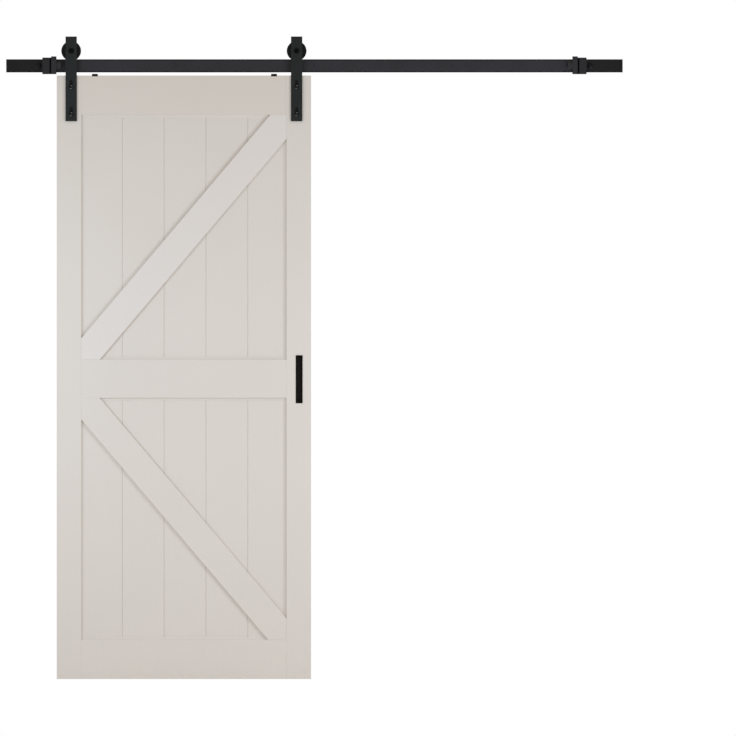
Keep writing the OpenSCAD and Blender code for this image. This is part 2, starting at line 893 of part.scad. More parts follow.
module flush_pull() {
    w = pull_pocket_w / 2;
    l = pull_pocket_l / 2;
    floor_y = leaf_front_y + pull_depth;
    color(nylon_black)
        difference() {
            union() {
                block([pull_x - pull_w / 2, leaf_front_y - pull_t, pull_z - pull_l / 2],
                      [pull_x + pull_w / 2, leaf_front_y, pull_z + pull_l / 2]);
                block([pull_x - w - pull_wall, leaf_front_y - over, pull_z - l - pull_wall],
                      [pull_x + w + pull_wall, floor_y + pull_wall, pull_z + l + pull_wall]);
            }
            block([pull_x - w, leaf_front_y - pull_t - over, pull_z - l],
                  [pull_x + w, floor_y, pull_z + l]);
            for (dz = [-pull_screw_pitch / 2, pull_screw_pitch / 2])
                translate([pull_x, floor_y - 1, pull_z + dz])
                    wood_screw(pull_screw_d, pull_head_d, pull_screw_l, bore_fit);
        }
}

module pull_screws() {
    color(nylon_black)
        for (dz = [-pull_screw_pitch / 2, pull_screw_pitch / 2])
            translate([pull_x, leaf_front_y + pull_depth - 1, pull_z + dz])
                difference() {
                    wood_screw(pull_screw_d, pull_head_d, pull_screw_l, 0);
                    hex_y(3, -over, 1.2);
                }
}

module antijump_disc(x) {
    color(nylon_black)
        translate([x, leaf_mid_y, disc_z])
            difference() {
                cylinder(d = disc_d, h = disc_t);
                translate([0, 0, disc_t])
                    rotate([-90, 0, 0])
                        wood_screw(disc_screw_d, disc_head_d, disc_screw_l, bore_fit);
            }
}

module antijump_screws() {
    color(bright_steel)
        for (x = disc_x)
            translate([x, leaf_mid_y, disc_z + disc_t])
                rotate([-90, 0, 0])
                    difference() {
                        wood_screw(disc_screw_d, disc_head_d, disc_screw_l, 0);
                        hex_y(4, -over, 1.8);
                    }
}

rail();
wall_spacers();
end_wall_bolts();
inner_wall_screws();
stop_block(-1);  // left_stop_block
stop_block(1);  // right_stop_block
stop_plate(-1);  // left_stop_plate
stop_plate(1);  // right_stop_plate
stop_pad(-1);  // left_stop_pad
stop_pad(1);  // right_stop_pad
stop_buffer(-1);  // left_stop_buffer
stop_buffer(1);  // right_stop_buffer
buffer_studs();
stop_set_screws();
left_stile();
right_stile();
leaf_top_rail();
leaf_mid_rail();
leaf_bottom_rail();
upper_brace();
lower_brace();
upper_panel_bead();
lower_panel_bead();
upper_plank(0);  // upper_plank_1
upper_plank(1);  // upper_plank_2
upper_plank(2);  // upper_plank_3
upper_plank(3);  // upper_plank_4
upper_plank(4);  // upper_plank_5
lower_plank(0);  // lower_plank_1
lower_plank(1);  // lower_plank_2
lower_plank(2);  // lower_plank_3
lower_plank(3);  // lower_plank_4
lower_plank(4);  // lower_plank_5
frame_dowels();
hanger_strap(strap_x[0]);  // left_hanger_strap
hanger_strap(strap_x[1]);  // right_hanger_strap
strap_pad(strap_x[0]);  // left_strap_pad
strap_pad(strap_x[1]);  // right_strap_pad
door_bolts();
door_sleeve_nuts();
axle_bolt(strap_x[0]);  // left_axle_bolt
axle_bolt(strap_x[1]);  // right_axle_bolt
axle_bush(strap_x[0]);  // left_axle_bush
axle_bush(strap_x[1]);  // right_axle_bush
axle_washers();
axle_nuts();
wheel(strap_x[0]);  // left_wheel
wheel(strap_x[1]);  // right_wheel
bearing_outer_ring(strap_x[0]);  // left_bearing_outer_ring
bearing_outer_ring(strap_x[1]);  // right_bearing_outer_ring
bearing_inner_ring(strap_x[0]);  // left_bearing_inner_ring
bearing_inner_ring(strap_x[1]);  // right_bearing_inner_ring
bearing_balls(strap_x[0]);  // left_bearing_balls
bearing_balls(strap_x[1]);  // right_bearing_balls
flush_pull();
pull_screws();
antijump_disc(disc_x[0]);  // left_antijump_disc
antijump_disc(disc_x[1]);  // right_antijump_disc
antijump_screws();
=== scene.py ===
import math

import bmesh
import bpy
from mathutils import Matrix, Vector


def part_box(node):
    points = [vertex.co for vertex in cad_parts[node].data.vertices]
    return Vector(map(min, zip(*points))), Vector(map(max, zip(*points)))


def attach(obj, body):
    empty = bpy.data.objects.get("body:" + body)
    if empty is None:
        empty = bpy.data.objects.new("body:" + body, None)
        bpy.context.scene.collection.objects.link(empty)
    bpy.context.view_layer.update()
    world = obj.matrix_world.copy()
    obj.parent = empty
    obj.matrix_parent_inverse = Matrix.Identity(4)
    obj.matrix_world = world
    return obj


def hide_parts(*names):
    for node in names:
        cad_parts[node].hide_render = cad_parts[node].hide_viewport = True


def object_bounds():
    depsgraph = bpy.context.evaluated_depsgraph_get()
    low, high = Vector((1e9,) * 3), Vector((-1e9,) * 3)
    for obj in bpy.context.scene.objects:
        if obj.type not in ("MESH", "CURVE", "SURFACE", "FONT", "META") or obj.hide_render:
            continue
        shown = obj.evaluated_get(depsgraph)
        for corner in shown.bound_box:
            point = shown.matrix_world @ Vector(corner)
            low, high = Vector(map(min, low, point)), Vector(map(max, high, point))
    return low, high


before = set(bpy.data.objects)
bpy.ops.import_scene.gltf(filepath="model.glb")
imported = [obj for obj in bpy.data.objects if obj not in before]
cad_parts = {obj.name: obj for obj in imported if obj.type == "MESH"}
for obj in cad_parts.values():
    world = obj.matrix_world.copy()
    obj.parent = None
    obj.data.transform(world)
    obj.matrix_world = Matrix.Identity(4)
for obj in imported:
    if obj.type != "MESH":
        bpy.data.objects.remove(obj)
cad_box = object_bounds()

MM = 0.001


def srgb(code):
    """The linear colour of an sRGB hex code."""
    parts = [int(code[i:i + 2], 16) / 255 for i in (1, 3, 5)]
    linear = [p / 12.92 if p <= 0.04045 else ((p + 0.055) / 1.055) ** 2.4 for p in parts]
    return (*linear, 1.0)


def add(tree, kind, settings, inputs):
    """A node with its settings; an input is a value, a socket to link, or a list of sockets."""
    node = tree.nodes.new(kind)
    for name, value in settings.items():
        setattr(node, name, value)
    for key, value in inputs.items():
        sources = value if isinstance(value, list) else [value]
        for source in sources:
            if isinstance(source, bpy.types.NodeSocket):
                tree.links.new(source, node.inputs[key])
            else:
                node.inputs[key].default_value = source
    return node


def new_finish(name):
    """An empty material, its tree, and the place on the piece in metres."""
    finish = bpy.data.materials.new(name)
    finish.use_nodes = True
    finish.node_tree.nodes.clear()
    place = add(finish.node_tree, "ShaderNodeTexCoord", {}, {})
    return finish, finish.node_tree, place.outputs["Object"]


def stand_up(name, data):
    """A new object in the scene, at the origin."""
    thing = bpy.data.objects.new(name, data)
    bpy.context.scene.collection.objects.link(thing)
    return thing


def soft_panel(name, size, at, aim, power, tint):
    """A soft rectangular lamp at a place, turned to face another."""
    lamp = bpy.data.lights.new(name, "AREA")
    lamp.shape = "RECTANGLE"
    lamp.size, lamp.size_y = size
    lamp.energy = power
    lamp.color = tint
    stand = stand_up(name, lamp)
    stand.location = at
    stand.rotation_euler = (Vector(aim) - Vector(at)).to_track_quat("-Z", "Y").to_euler()


camera = bpy.data.cameras.new("long_lens")
camera.type = "ORTHO"
camera.ortho_scale = 2.605
camera_stand = stand_up("long_lens", camera)
camera_stand.location = (0.1896, -6.0, -1.0694)
camera_stand.rotation_euler = (math.radians(90), 0, 0)
bpy.context.scene.camera = camera_stand
bpy.context.scene.view_settings.view_transform = "Standard"

soft_panel("left_panel", (0.7, 0.7), (-1.8, -1.4, -0.92), (-0.5, 0.0, -0.95), 11.0, (0.69, 0.82, 0.99))
soft_panel("right_panel", (0.9, 0.9), (1.4, -1.6, -1.0), (-0.4, 0.0, -1.0), 18.0, (0.75, 0.84, 0.98))
soft_panel("low_panel", (1.6, 0.3), (-0.3, -2.1, -1.7), (-0.4, 0.0, -1.9), 2.0, (1.0, 0.92, 0.94))
soft_panel("tall_strip", (0.14, 0.7), (-1.63, -2.76, 0.0), (-0.46, 0.0, 0.0), 2.6, (0.9, 0.95, 1.0))

# a warm, even surround lights the door, and a plain white one stands behind it
surround = bpy.data.worlds.new("white_surround")
bpy.context.scene.world = surround
surround.use_nodes = True
tree = surround.node_tree
tree.nodes.clear()
ray = add(tree, "ShaderNodeLightPath", {}, {})
shining = add(tree, "ShaderNodeBackground", {}, {"Color": (1.0, 0.955, 0.89, 1.0), "Strength": 0.6})
seen = add(tree, "ShaderNodeBackground", {}, {"Color": (1.0, 1.0, 1.0, 1.0), "Strength": 1.0})
both = add(tree, "ShaderNodeMixShader", {},
           {0: ray.outputs["Is Camera Ray"], 1: shining.outputs[0], 2: seen.outputs[0]})
add(tree, "ShaderNodeOutputWorld", {}, {"Surface": both.outputs[0]})

# Matt emulsion on a smooth studio floor: even and pale, with a faint cloudiness.
floor_paint, tree, place = new_finish("matt_floor_paint")
clouds = add(tree, "ShaderNodeTexNoise", {}, {"Vector": place, "Scale": 1.5, "Detail": 2.0})
pale = add(tree, "ShaderNodeMix", {"data_type": "RGBA"},
           {0: clouds.outputs["Fac"], 6: srgb("#eceae6"), 7: srgb("#f2f0ed")})
shader = add(tree, "ShaderNodeBsdfPrincipled", {},
             {"Base Color": pale.outputs[2], "Roughness": 0.8, "Specular IOR Level": 0.2})
add(tree, "ShaderNodeOutputMaterial", {}, {"Surface": shader.outputs[0]})
floor_mesh = bpy.data.meshes.new("studio_floor")
floor_z = cad_box[0].z - 12 * MM
floor_half = 9
corners = [(a * floor_half, b * floor_half, floor_z) for a, b in ((-1, -1), (1, -1), (1, 1), (-1, 1))]
floor_mesh.from_pydata(corners, [], [(0, 1, 2, 3)])
floor_mesh.materials.append(floor_paint)
stand_up("studio_floor", floor_mesh)

# ---------------------------------------------------------------- rail
# One flat bar of hot-rolled steel, 46.5 by 6 mm, sawn to length, drilled for five wall
# fixings and dipped in matt black powder. Its long arrises are rolled round.


def soft_copy(name, node, arris):
    """A CAD node's mesh, merged, with its longer arrises rounded over."""
    form = bmesh.new()
    form.from_mesh(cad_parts[node].data)
    bmesh.ops.remove_doubles(form, verts=form.verts, dist=2e-6)
    bmesh.ops.dissolve_limit(form, angle_limit=math.radians(1.5), verts=form.verts, edges=form.edges)
    sharp = [e for e in form.edges if e.is_manifold and e.calc_length() > 3.5 * arris
             and e.calc_face_angle(0) > math.radians(35)]
    bmesh.ops.bevel(form, geom=sharp, offset=arris, offset_type="OFFSET", segments=2,
                    profile=0.6, affect="EDGES", clamp_overlap=False)
    bmesh.ops.remove_doubles(form, verts=form.verts, dist=2e-6)
    mesh = bpy.data.meshes.new(name)
    form.to_mesh(mesh)
    form.free()
    return smooth_piece(name, mesh)


def smooth_piece(name, mesh):
    """An object whose flat faces stay flat to the eye and whose round ones look round."""
    mesh.shade_smooth()
    mesh.set_sharp_from_angle(angle=math.radians(50))
    piece = stand_up(name, mesh)
    weighted = piece.modifiers.new("flats", "WEIGHTED_NORMAL")
    weighted.weight = 100
    weighted.keep_sharp = True
    return made_plain(piece)


def made_plain(piece):
    """The piece with what its modifiers make as its own mesh."""
    shaped = piece.evaluated_get(bpy.context.evaluated_depsgraph_get())
    piece.data = bpy.data.meshes.new_from_object(shaped)
    piece.modifiers.clear()
    return piece


def fit(piece, finish, slot, body, *nodes):
    """Coats the piece, and lets it stand for its CAD nodes on a body; the slot is not used."""
    piece.data.materials.clear()
    piece.data.materials.append(finish)
    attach(piece, body)
    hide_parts(*nodes)


def patchy_finish(name, patch_mm, detail, codes, roughness):
    """A new material whose tone and roughness drift together over patches of a given size."""
    finish, tree, place = new_finish(name)
    patch = add(tree, "ShaderNodeTexNoise", {},
                {"Vector": place, "Scale": 1000 / patch_mm, "Detail": detail}).outputs["Fac"]
    tone = add(tree, "ShaderNodeMix", {"data_type": "RGBA"},
               {0: patch, 6: srgb(codes[0]), 7: srgb(codes[1])})
    rough = add(tree, "ShaderNodeMapRange", {},
                {"Value": patch, "To Min": roughness[0], "To Max": roughness[1]})
    return finish, tree, place, patch, tone, rough.outputs[0]


def top_surface(tree, colour, rough, relief, others):
    """The shader of a surface. Its relief is a height, a strength and a depth in mm, or None,
    and the others are plain values by the names of their sockets."""
    values = {"Base Color": colour, "Roughness": rough, **others}
    if relief:
        height, strength, depth = relief
        bump = add(tree, "ShaderNodeBump", {},
                   {"Strength": strength, "Distance": depth * MM, "Height": height})
        values["Normal"] = bump.outputs[0]
    shader = add(tree, "ShaderNodeBsdfPrincipled", {}, values)
    add(tree, "ShaderNodeOutputMaterial", {}, {"Surface": shader.outputs[0]})
    return shader


def powder_coat(name, tone, worn_tone):
    """Matt black powder coat, baked on steel: a soft sheen broken up by fine orange peel,
    and tone that drifts a little where the powder lay thicker."""
    finish, tree, place, drift, coat, rough = patchy_finish(name, 60, 3.0, (tone, worn_tone),
                                                            (0.46, 0.58))
    grain = add(tree, "ShaderNodeTexNoise", {}, {"Vector": place, "Scale": 1000 / 2.2, "Detail": 1.0})
    speck = add(tree, "ShaderNodeMath", {"operation": "MULTIPLY_ADD"},
                {0: grain.outputs["Fac"], 1: 0.5, 2: drift})
    share = add(tree, "ShaderNodeMapRange", {},
                {"Value": speck.outputs[0], "From Min": 0.5, "From Max": 1.0})
    tree.links.new(share.outputs[0], coat.inputs[0])
    # orange peel 1.2 mm across and a few hundredths deep
    peel = add(tree, "ShaderNodeTexNoise", {}, {"Vector": place, "Scale": 1000 / 1.2, "Detail": 1.5})
    shader = top_surface(tree, coat.outputs[2], rough, (peel.outputs["Fac"], 0.5, 0.03),
                         {"IOR": 1.5, "Specular IOR Level": 0.25})
    return finish, tree, place, coat, shader


rail_coat, tree, place, coat, shader = powder_coat("rail_powder_coat", "#28282c", "#2e2e33")
# painted shade: along the long arrises (more strongly towards the ends), and beyond the stops (more
# strongly towards the tips), the coat is mixed towards near black
arris_zone = (16.5 * MM, 20.5 * MM)
deeper_zone = (900 * MM, 965 * MM)
end_zone = (912 * MM, 945 * MM)
to_tip = (930 * MM, 1091 * MM)
faint = 0.75
along = add(tree, "ShaderNodeSeparateXYZ", {}, {0: place})
height = add(tree, "ShaderNodeMath", {"operation": "ABSOLUTE"}, {0: along.outputs["Z"]})
reach = add(tree, "ShaderNodeMath", {"operation": "ABSOLUTE"}, {0: along.outputs["X"]})
shaded_coat = coat.outputs[2]
for measure, zone, depth_zone, code in ((height, arris_zone, deeper_zone, "#040404"),
                                        (reach, end_zone, to_tip, "#020202")):
    share = add(tree, "ShaderNodeMapRange", {"interpolation_type": "SMOOTHSTEP"},
                {"Value": measure.outputs[0], "From Min": zone[0], "From Max": zone[1]})
    depth = add(tree, "ShaderNodeMapRange", {},
                {"Value": reach.outputs[0], "From Min": depth_zone[0], "From Max": depth_zone[1],
                 "To Min": faint, "To Max": 1.0})
    dark = add(tree, "ShaderNodeMath", {"operation": "MULTIPLY"},
               {0: share.outputs[0], 1: depth.outputs[0]})
    shaded_coat = add(tree, "ShaderNodeMix", {"data_type": "RGBA"},
               {0: dark.outputs[0], 6: shaded_coat, 7: srgb(code)}).outputs[2]
tree.links.new(shaded_coat, shader.inputs["Base Color"])
fit(soft_copy("rail_bar", "rail", 0.7 * MM), rail_coat, "rail_black", "track", "rail")

# ---------------------------------------------------------------- wall spacers
# Five sleeves turned from round steel, 22 mm across, that hold the rail 24.5 mm off the
# wall. Each has a small chamfer at both ends and is coated with the rail.
spacer_r = 11 * MM
spacer_bore = 4.05 * MM
spacer_y = (-24.5 * MM, 0.0)
fixing_step = 488 * MM


def turned(rings, sides, closed):
    """A mesh of rings round the Y axis, in order. A ring is a radius, which may depend on
    the angle, and a place along Y, which may too. Closed joins the last ring to the first;
    otherwise both ends are capped."""
    form = bmesh.new()
    made = []
    for radius, along_y in rings:
        ring = []
        for i in range(sides):
            angle = 2 * math.pi * i / sides
            r = radius(angle) if callable(radius) else radius
            y = along_y(angle) if callable(along_y) else along_y
            ring.append(form.verts.new((r * math.cos(angle), y, r * math.sin(angle))))
        made.append(ring)
    pairs = list(zip(made, made[1:]))
    if closed:
        pairs.append((made[-1], made[0]))
    for low, high in pairs:
        for i in range(sides):
            j = (i + 1) % sides
            form.faces.new((low[i], low[j], high[j], high[i]))
    if not closed:
        form.faces.new(made[0])
        form.faces.new(made[-1])
    bmesh.ops.recalc_face_normals(form, faces=form.faces)
    mesh = bpy.data.meshes.new("turned")
    form.to_mesh(mesh)
    form.free()
    return mesh


def new_tree(name, inputs):
    """A Geometry Nodes tree for a mesh, with inputs by name and kind, and its input node."""
    tree = bpy.data.node_groups.new(name, "GeometryNodeTree")
    for label, kind in {"Geometry": "Geometry", **inputs}.items():
        tree.interface.new_socket(name=label, in_out="INPUT", socket_type="NodeSocket" + kind)
    tree.interface.new_socket(name="Geometry", in_out="OUTPUT", socket_type="NodeSocketGeometry")
    return tree, add(tree, "NodeGroupInput", {}, {})


def apply_tree(piece, tree, values):
    """Puts a tree on the piece with its inputs set by their sockets' identifiers."""
    modifier = piece.modifiers.new(tree.name, "NODES")
    modifier.node_group = tree
    for socket in tree.interface.items_tree:
        if socket.name in values:
            modifier[socket.identifier] = values[socket.name]


row_tree, given = new_tree("row_of_pieces", {"Count": "Int", "First": "Vector", "Step": "Vector",
                                             "Finish": "Material"})
spots = add(row_tree, "GeometryNodeMeshLine", {"mode": "OFFSET"},
            {"Count": given.outputs["Count"], "Start Location": given.outputs["First"],
             "Offset": given.outputs["Step"]})
row = add(row_tree, "GeometryNodeInstanceOnPoints", {},
          {"Points": spots.outputs[0], "Instance": given.outputs["Geometry"]})
solid = add(row_tree, "GeometryNodeRealizeInstances", {}, {0: row.outputs[0]})
coated = add(row_tree, "GeometryNodeSetMaterial", {},
             {"Geometry": solid.outputs[0], "Material": given.outputs["Finish"]})
add(row_tree, "NodeGroupOutput", {}, {0: coated.outputs[0]})


def row_of(name, mesh, finish, count, first, step):
    """The mesh repeated in a straight row, as one piece."""
    piece = smooth_piece(name, mesh)
    apply_tree(piece, row_tree, {"Count": count, "First": first, "Step": step, "Finish": finish})
    return made_plain(piece)


chamfer = 0.6 * MM
spacer = turned([(spacer_bore, spacer_y[0]), (spacer_r - chamfer, spacer_y[0]),
                 (spacer_r, spacer_y[0] + chamfer), (spacer_r, spacer_y[1] - chamfer),
                 (spacer_r - chamfer, spacer_y[1]), (spacer_bore, spacer_y[1])], 64, True)
spacers = row_of("wall_spacer_sleeves", spacer, rail_coat, 5,
                 (-2 * fixing_step, 0, 0), (fixing_step, 0, 0))
fit(spacers, rail_coat, "rail_black", "track", "wall_spacers")

# ---------------------------------------------------------------- wall bolts and screws
# Steel wood screws, 8 mm, with a rolled thread and a gimlet point, blacked to match. The two
# end ones have flanged hexagon heads; the three between have countersunk heads, flush
# with the rail so that the wheels roll past them.
rail_face_y = -30.5 * MM
shank_r = 4 * MM
flange_r = 10 * MM
head_af = 13 * MM
thread_sizes = {"Crest Radius": 3.8 * MM, "Depth": 1.0 * MM, "Pitch": 3.2 * MM, "Length": 61 * MM,
                "Point": 8 * MM}


def hexagon(across_flats, turn=0.0):
    """The radius of a hexagon at an angle, with a vertical flat on each side at turn 0."""
    def radius(angle):
        within = (angle + turn + math.pi / 6) % (math.pi / 3) - math.pi / 6
        return across_flats / 2 / math.cos(within)
    return radius


def hexagon_head(across_flats, base_y, top_y, turn=0.0):
    """Rings of a hexagon head towards -Y, with its corners turned off at 30 degrees."""
    flat_r = across_flats / 2 * 0.96
    outline = hexagon(across_flats, turn)
    slope = math.tan(math.radians(28))

    def shoulder(angle):
        return top_y + (outline(angle) - flat_r) * slope
    return [(outline, base_y), (outline, shoulder), (flat_r, top_y)]


thread_tree, given = new_tree("rolled_thread", dict.fromkeys(thread_sizes, "Float"))
rod = add(thread_tree, "GeometryNodeMeshCylinder", {"fill_type": "NGON"},
          {"Vertices": 20, "Side Segments": 116, "Radius": given.outputs["Crest Radius"],
           "Depth": given.outputs["Length"]})
spot = add(thread_tree, "GeometryNodeInputPosition", {}, {})
axes = add(thread_tree, "ShaderNodeSeparateXYZ", {}, {0: spot.outputs[0]})
half = add(thread_tree, "ShaderNodeMath", {"operation": "MULTIPLY"},
           {0: given.outputs["Length"], 1: 0.5})
depth_in = add(thread_tree, "ShaderNodeMath", {"operation": "ADD"},
               {0: axes.outputs["Z"], 1: half.outputs[0]})
# how far a place is from the ridge, in turns: the climb along the rod less the angle round it
angle = add(thread_tree, "ShaderNodeMath", {"operation": "ARCTAN2"},
            {0: axes.outputs["Y"], 1: axes.outputs["X"]})
turns = add(thread_tree, "ShaderNodeMath", {"operation": "DIVIDE"},
            {0: angle.outputs[0], 1: 2 * math.pi})
climb = add(thread_tree, "ShaderNodeMath", {"operation": "DIVIDE"},
            {0: depth_in.outputs[0], 1: given.outputs["Pitch"]})
phase = add(thread_tree, "ShaderNodeMath", {"operation": "SUBTRACT"},
            {0: climb.outputs[0], 1: turns.outputs[0]})
ridge = add(thread_tree, "ShaderNodeMath", {"operation": "PINGPONG"}, {0: phase.outputs[0], 1: 0.5})
steep = add(thread_tree, "ShaderNodeMapRange", {},
            {"Value": ridge.outputs[0], "From Min": 0.12, "From Max": 0.45})
cut = add(thread_tree, "ShaderNodeMath", {"operation": "MULTIPLY"},
          {0: steep.outputs[0], 1: given.outputs["Depth"]})
cut_share = add(thread_tree, "ShaderNodeMath", {"operation": "DIVIDE"},
                {0: cut.outputs[0], 1: given.outputs["Crest Radius"]})
left_share = add(thread_tree, "ShaderNodeMath", {"operation": "SUBTRACT"},
                 {0: 1.0, 1: cut_share.outputs[0]})
# towards its tip the whole rod runs down to a point
to_end = add(thread_tree, "ShaderNodeMath", {"operation": "SUBTRACT"},
             {0: given.outputs["Length"], 1: depth_in.outputs[0]})
point = add(thread_tree, "ShaderNodeMath", {"operation": "DIVIDE"},
            {0: to_end.outputs[0], 1: given.outputs["Point"]})
taper = add(thread_tree, "ShaderNodeMapRange", {}, {"Value": point.outputs[0], "To Min": 0.08})
thin = add(thread_tree, "ShaderNodeMath", {"operation": "MULTIPLY"},
           {0: left_share.outputs[0], 1: taper.outputs[0]})
across_x, across_y = [add(thread_tree, "ShaderNodeMath", {"operation": "MULTIPLY"},
                          {0: axes.outputs[axis], 1: thin.outputs[0]}) for axis in "XY"]
# the rod is made along Z and laid along Y, into the wall
laid = add(thread_tree, "ShaderNodeCombineXYZ", {},
           {"X": across_x.outputs[0], "Y": depth_in.outputs[0], "Z": across_y.outputs[0]})
threaded = add(thread_tree, "GeometryNodeSetPosition", {},
               {"Geometry": rod.outputs["Mesh"], "Position": laid.outputs[0]})
outward = add(thread_tree, "GeometryNodeFlipFaces", {}, {0: threaded.outputs[0]})
screw = add(thread_tree, "GeometryNodeJoinGeometry", {},
            {0: [given.outputs["Geometry"], outward.outputs[0]]})
add(thread_tree, "NodeGroupOutput", {}, {0: screw.outputs[0]})

# zinc-plated steel under a black passivate: near black, a dull gleam on the edges, and a
# faint cloudy bloom
blacked, tree, place, _, tone, rough = patchy_finish("blacked_steel", 7, 4.0, ("#060606", "#0d0d0d"),
                                                     (0.3, 0.46))
# painted highlight: where a vertex attribute says, the black is mixed towards a light grey, for glints
rubbed = add(tree, "ShaderNodeAttribute", {"attribute_name": "rubbed"}, {})
glint_mixed = add(tree, "ShaderNodeMix", {"data_type": "RGBA"},
           {0: rubbed.outputs["Fac"], 6: tone.outputs[2], 7: srgb("#8b8d8c")})
tooled = add(tree, "ShaderNodeTexNoise", {}, {"Vector": place, "Scale": 1000 / 0.6, "Detail": 2.0})
top_surface(tree, glint_mixed.outputs[2], rough, (tooled.outputs["Fac"], 0.4, 0.02),
            {"Specular IOR Level": 0.2})


def wall_screws(name, rings, count, first, step, finish):
    """Heads and smooth shanks from their rings, each with its thread, in a row."""
    piece = smooth_piece(name, turned(rings, 48, False))
    apply_tree(piece, thread_tree, thread_sizes)
    apply_tree(piece, row_tree, {"Count": count, "First": first, "Step": step, "Finish": finish})
    return made_plain(piece)


flange_y = rail_face_y - 2 * MM
bolt_rings = [(shank_r, 0.0), (shank_r, rail_face_y), (flange_r, rail_face_y),
              (flange_r, rail_face_y - 0.9 * MM), (flange_r - 0.5 * MM, rail_face_y - 1.4 * MM),
              (hexagon(head_af + 1.2 * MM), flange_y)]
bolt_rings += hexagon_head(head_af, flange_y, flange_y - 5.5 * MM)
bolts = wall_screws("end_wall_bolt_pair", bolt_rings, 2, (-2 * fixing_step, 0, 0),
                    (4 * fixing_step, 0, 0), blacked)
fit(bolts, blacked, "rail_black", "track", "end_wall_bolts")

socket = hexagon(5 * MM)
sunk_rings = [(shank_r, 0.0), (shank_r, rail_face_y + 4 * MM), (2 * shank_r - 0.1 * MM, rail_face_y),
              (socket, rail_face_y), (socket, rail_face_y + 3 * MM)]
screws = wall_screws("sunk_wall_screws", sunk_rings, 3, (-fixing_step, 0, 0),
                     (fixing_step, 0, 0), rail_coat)
fit(screws, rail_coat, "rail_black", "track", "inner_wall_screws")

# ---------------------------------------------------------------- end stops
# At each end, a steel block is slipped over the rail and held by two set screws from
# below. In front of it stand a rubber pad, a taller steel plate, and a hexagonal rubber
# buffer that takes the leaf, on a stud through all of them.


def black_rubber(name, tone_code, bloom_code, sheen):
    """Solid black rubber, moulded: dull, grey where it has bloomed, with a fine spark-eroded
    grain."""
    finish, tree, place, _, tone, rough = patchy_finish(name, 14, 5.0, (tone_code, bloom_code),
                                                        (0.68, 0.82))
    grain = add(tree, "ShaderNodeTexNoise", {}, {"Vector": place, "Scale": 1000 / 0.5, "Detail": 2.0})
    top_surface(tree, tone.outputs[2], rough, (grain.outputs["Fac"], 0.5, 0.05),
                {"Specular IOR Level": sheen})
    return finish


# painted shade: the pad's rubber is darker and duller than the buffer's, so that the slit it fills reads
# as shade
pad_rubber = black_rubber("moulded_rubber_pad", "#020202", "#050505", 0.05)
buffer_rubber = black_rubber("bloomed_rubber_buffer", "#232325", "#2d2d30", 0.3)

block_coat = powder_coat("stop_block_coat", "#1b1b1d", "#232326")[0]
plate_coat = powder_coat("stop_plate_coat", "#222225", "#29292d")[0]
for side in ("left", "right"):
    block = soft_copy(f"{side}_slip_over_block", f"{side}_stop_block", 0.9 * MM)
    fit(block, block_coat, "rail_black", "track", f"{side}_stop_block")
    plate = soft_copy(f"{side}_buffer_plate", f"{side}_stop_plate", 0.9 * MM)
    fit(plate, plate_coat, "rail_black", "track", f"{side}_stop_plate")
    pad = soft_copy(f"{side}_rubber_pad", f"{side}_stop_pad", 0.4 * MM)
    fit(pad, pad_rubber, "black_rubber", "track", f"{side}_stop_pad")
    buffer = soft_copy(f"{side}_hexagonal_buffer", f"{side}_stop_buffer", 1.1 * MM)
    fit(buffer, buffer_rubber, "black_rubber", "track", f"{side}_stop_buffer")

# bright zinc on turned steel: a cool grey, slightly yellow in patches, softly reflective
zinc, tree, place, _, tone, rough = patchy_finish("zinc_plated_steel", 9, 3.0, ("#b6b9bc", "#c4c2b8"),
                                                  (0.24, 0.4))
lines = add(tree, "ShaderNodeTexNoise", {}, {"Vector": place, "Scale": 1000 / 0.4, "Detail": 1.0})
top_surface(tree, tone.outputs[2], rough, (lines.outputs["Fac"], 0.25, 0.01), {"Metallic": 1.0})

stud_profile = [(3.6, 905), (4, 905.4), (4, 957.1), (3.6, 957.5)]
stud = turned([(r * MM, y * MM) for r, y in stud_profile], 32, False)
stud.transform(Matrix.Translation((0, -49 * MM, 2.1 * MM))
               @ Matrix.Rotation(math.radians(-90), 4, "Z"))
fit(smooth_piece("buffer_stud_pair", stud), zinc, "zinc_steel", "track", "buffer_studs")


def coat_node(node, finish):
    """Gives a CAD node that stays as it is its finish."""
    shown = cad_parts[node].data
    shown.materials.clear()
    shown.materials.append(finish)


coat_node("stop_set_screws", blacked)

# ---------------------------------------------------------------- leaf frame
# Stiles 87 mm wide and three rails, cut from 35 mm fibreboard, grooved for the planks,
# tenoned and dowelled, then sprayed. The arrises are taken off with fine paper.


def sprayed_paint(name, tone_code="#dad3cb", thick_code="#ddd6ce"):
    """Satin water-based paint, sprayed on primed fibreboard: a warm pale grey, smooth from
    afar, with faint peel, a slow drift in tone, and a soft sheen without a clear reflection."""
    finish, tree, place, _, tone, rough = patchy_finish(name, 260, 2.0, (tone_code, thick_code),
                                                        (0.42, 0.52))
    # peel 2.5 mm across over a board surface that waves by a hundredth in 30 mm
    peel = add(tree, "ShaderNodeTexNoise", {}, {"Vector": place, "Scale": 1000 / 2.5, "Detail": 1.5})
    wave = add(tree, "ShaderNodeTexNoise", {}, {"Vector": place, "Scale": 1000 / 30, "Detail": 1.0})
    height = add(tree, "ShaderNodeMath", {"operation": "MULTIPLY_ADD"},
                 {0: wave.outputs["Fac"], 1: 1.5, 2: peel.outputs["Fac"]})
    shader = top_surface(tree, tone.outputs[2], rough, (height.outputs[0], 0.5, 0.03),
                         {"IOR": 1.45, "Specular IOR Level": 0.3})
    return finish, tree, place, tone, shader


frame_paint = sprayed_paint("sprayed_fibreboard")[0]
# painted shade: the top rail is sprayed a darker tone, for the light that falls off towards the top
shaded_top_paint = sprayed_paint("sprayed_top_board_shaded", "#d9d1c8", "#dbd3cb")[0]
for board, paint in (("left_stile", frame_paint), ("right_stile", frame_paint),
                     ("leaf_top_rail", shaded_top_paint), ("leaf_mid_rail", frame_paint),
                     ("leaf_bottom_rail", frame_paint)):
    fit(soft_copy(f"{board}_board", board, 0.4 * MM), paint, "leaf_paint", "door_leaf", board)
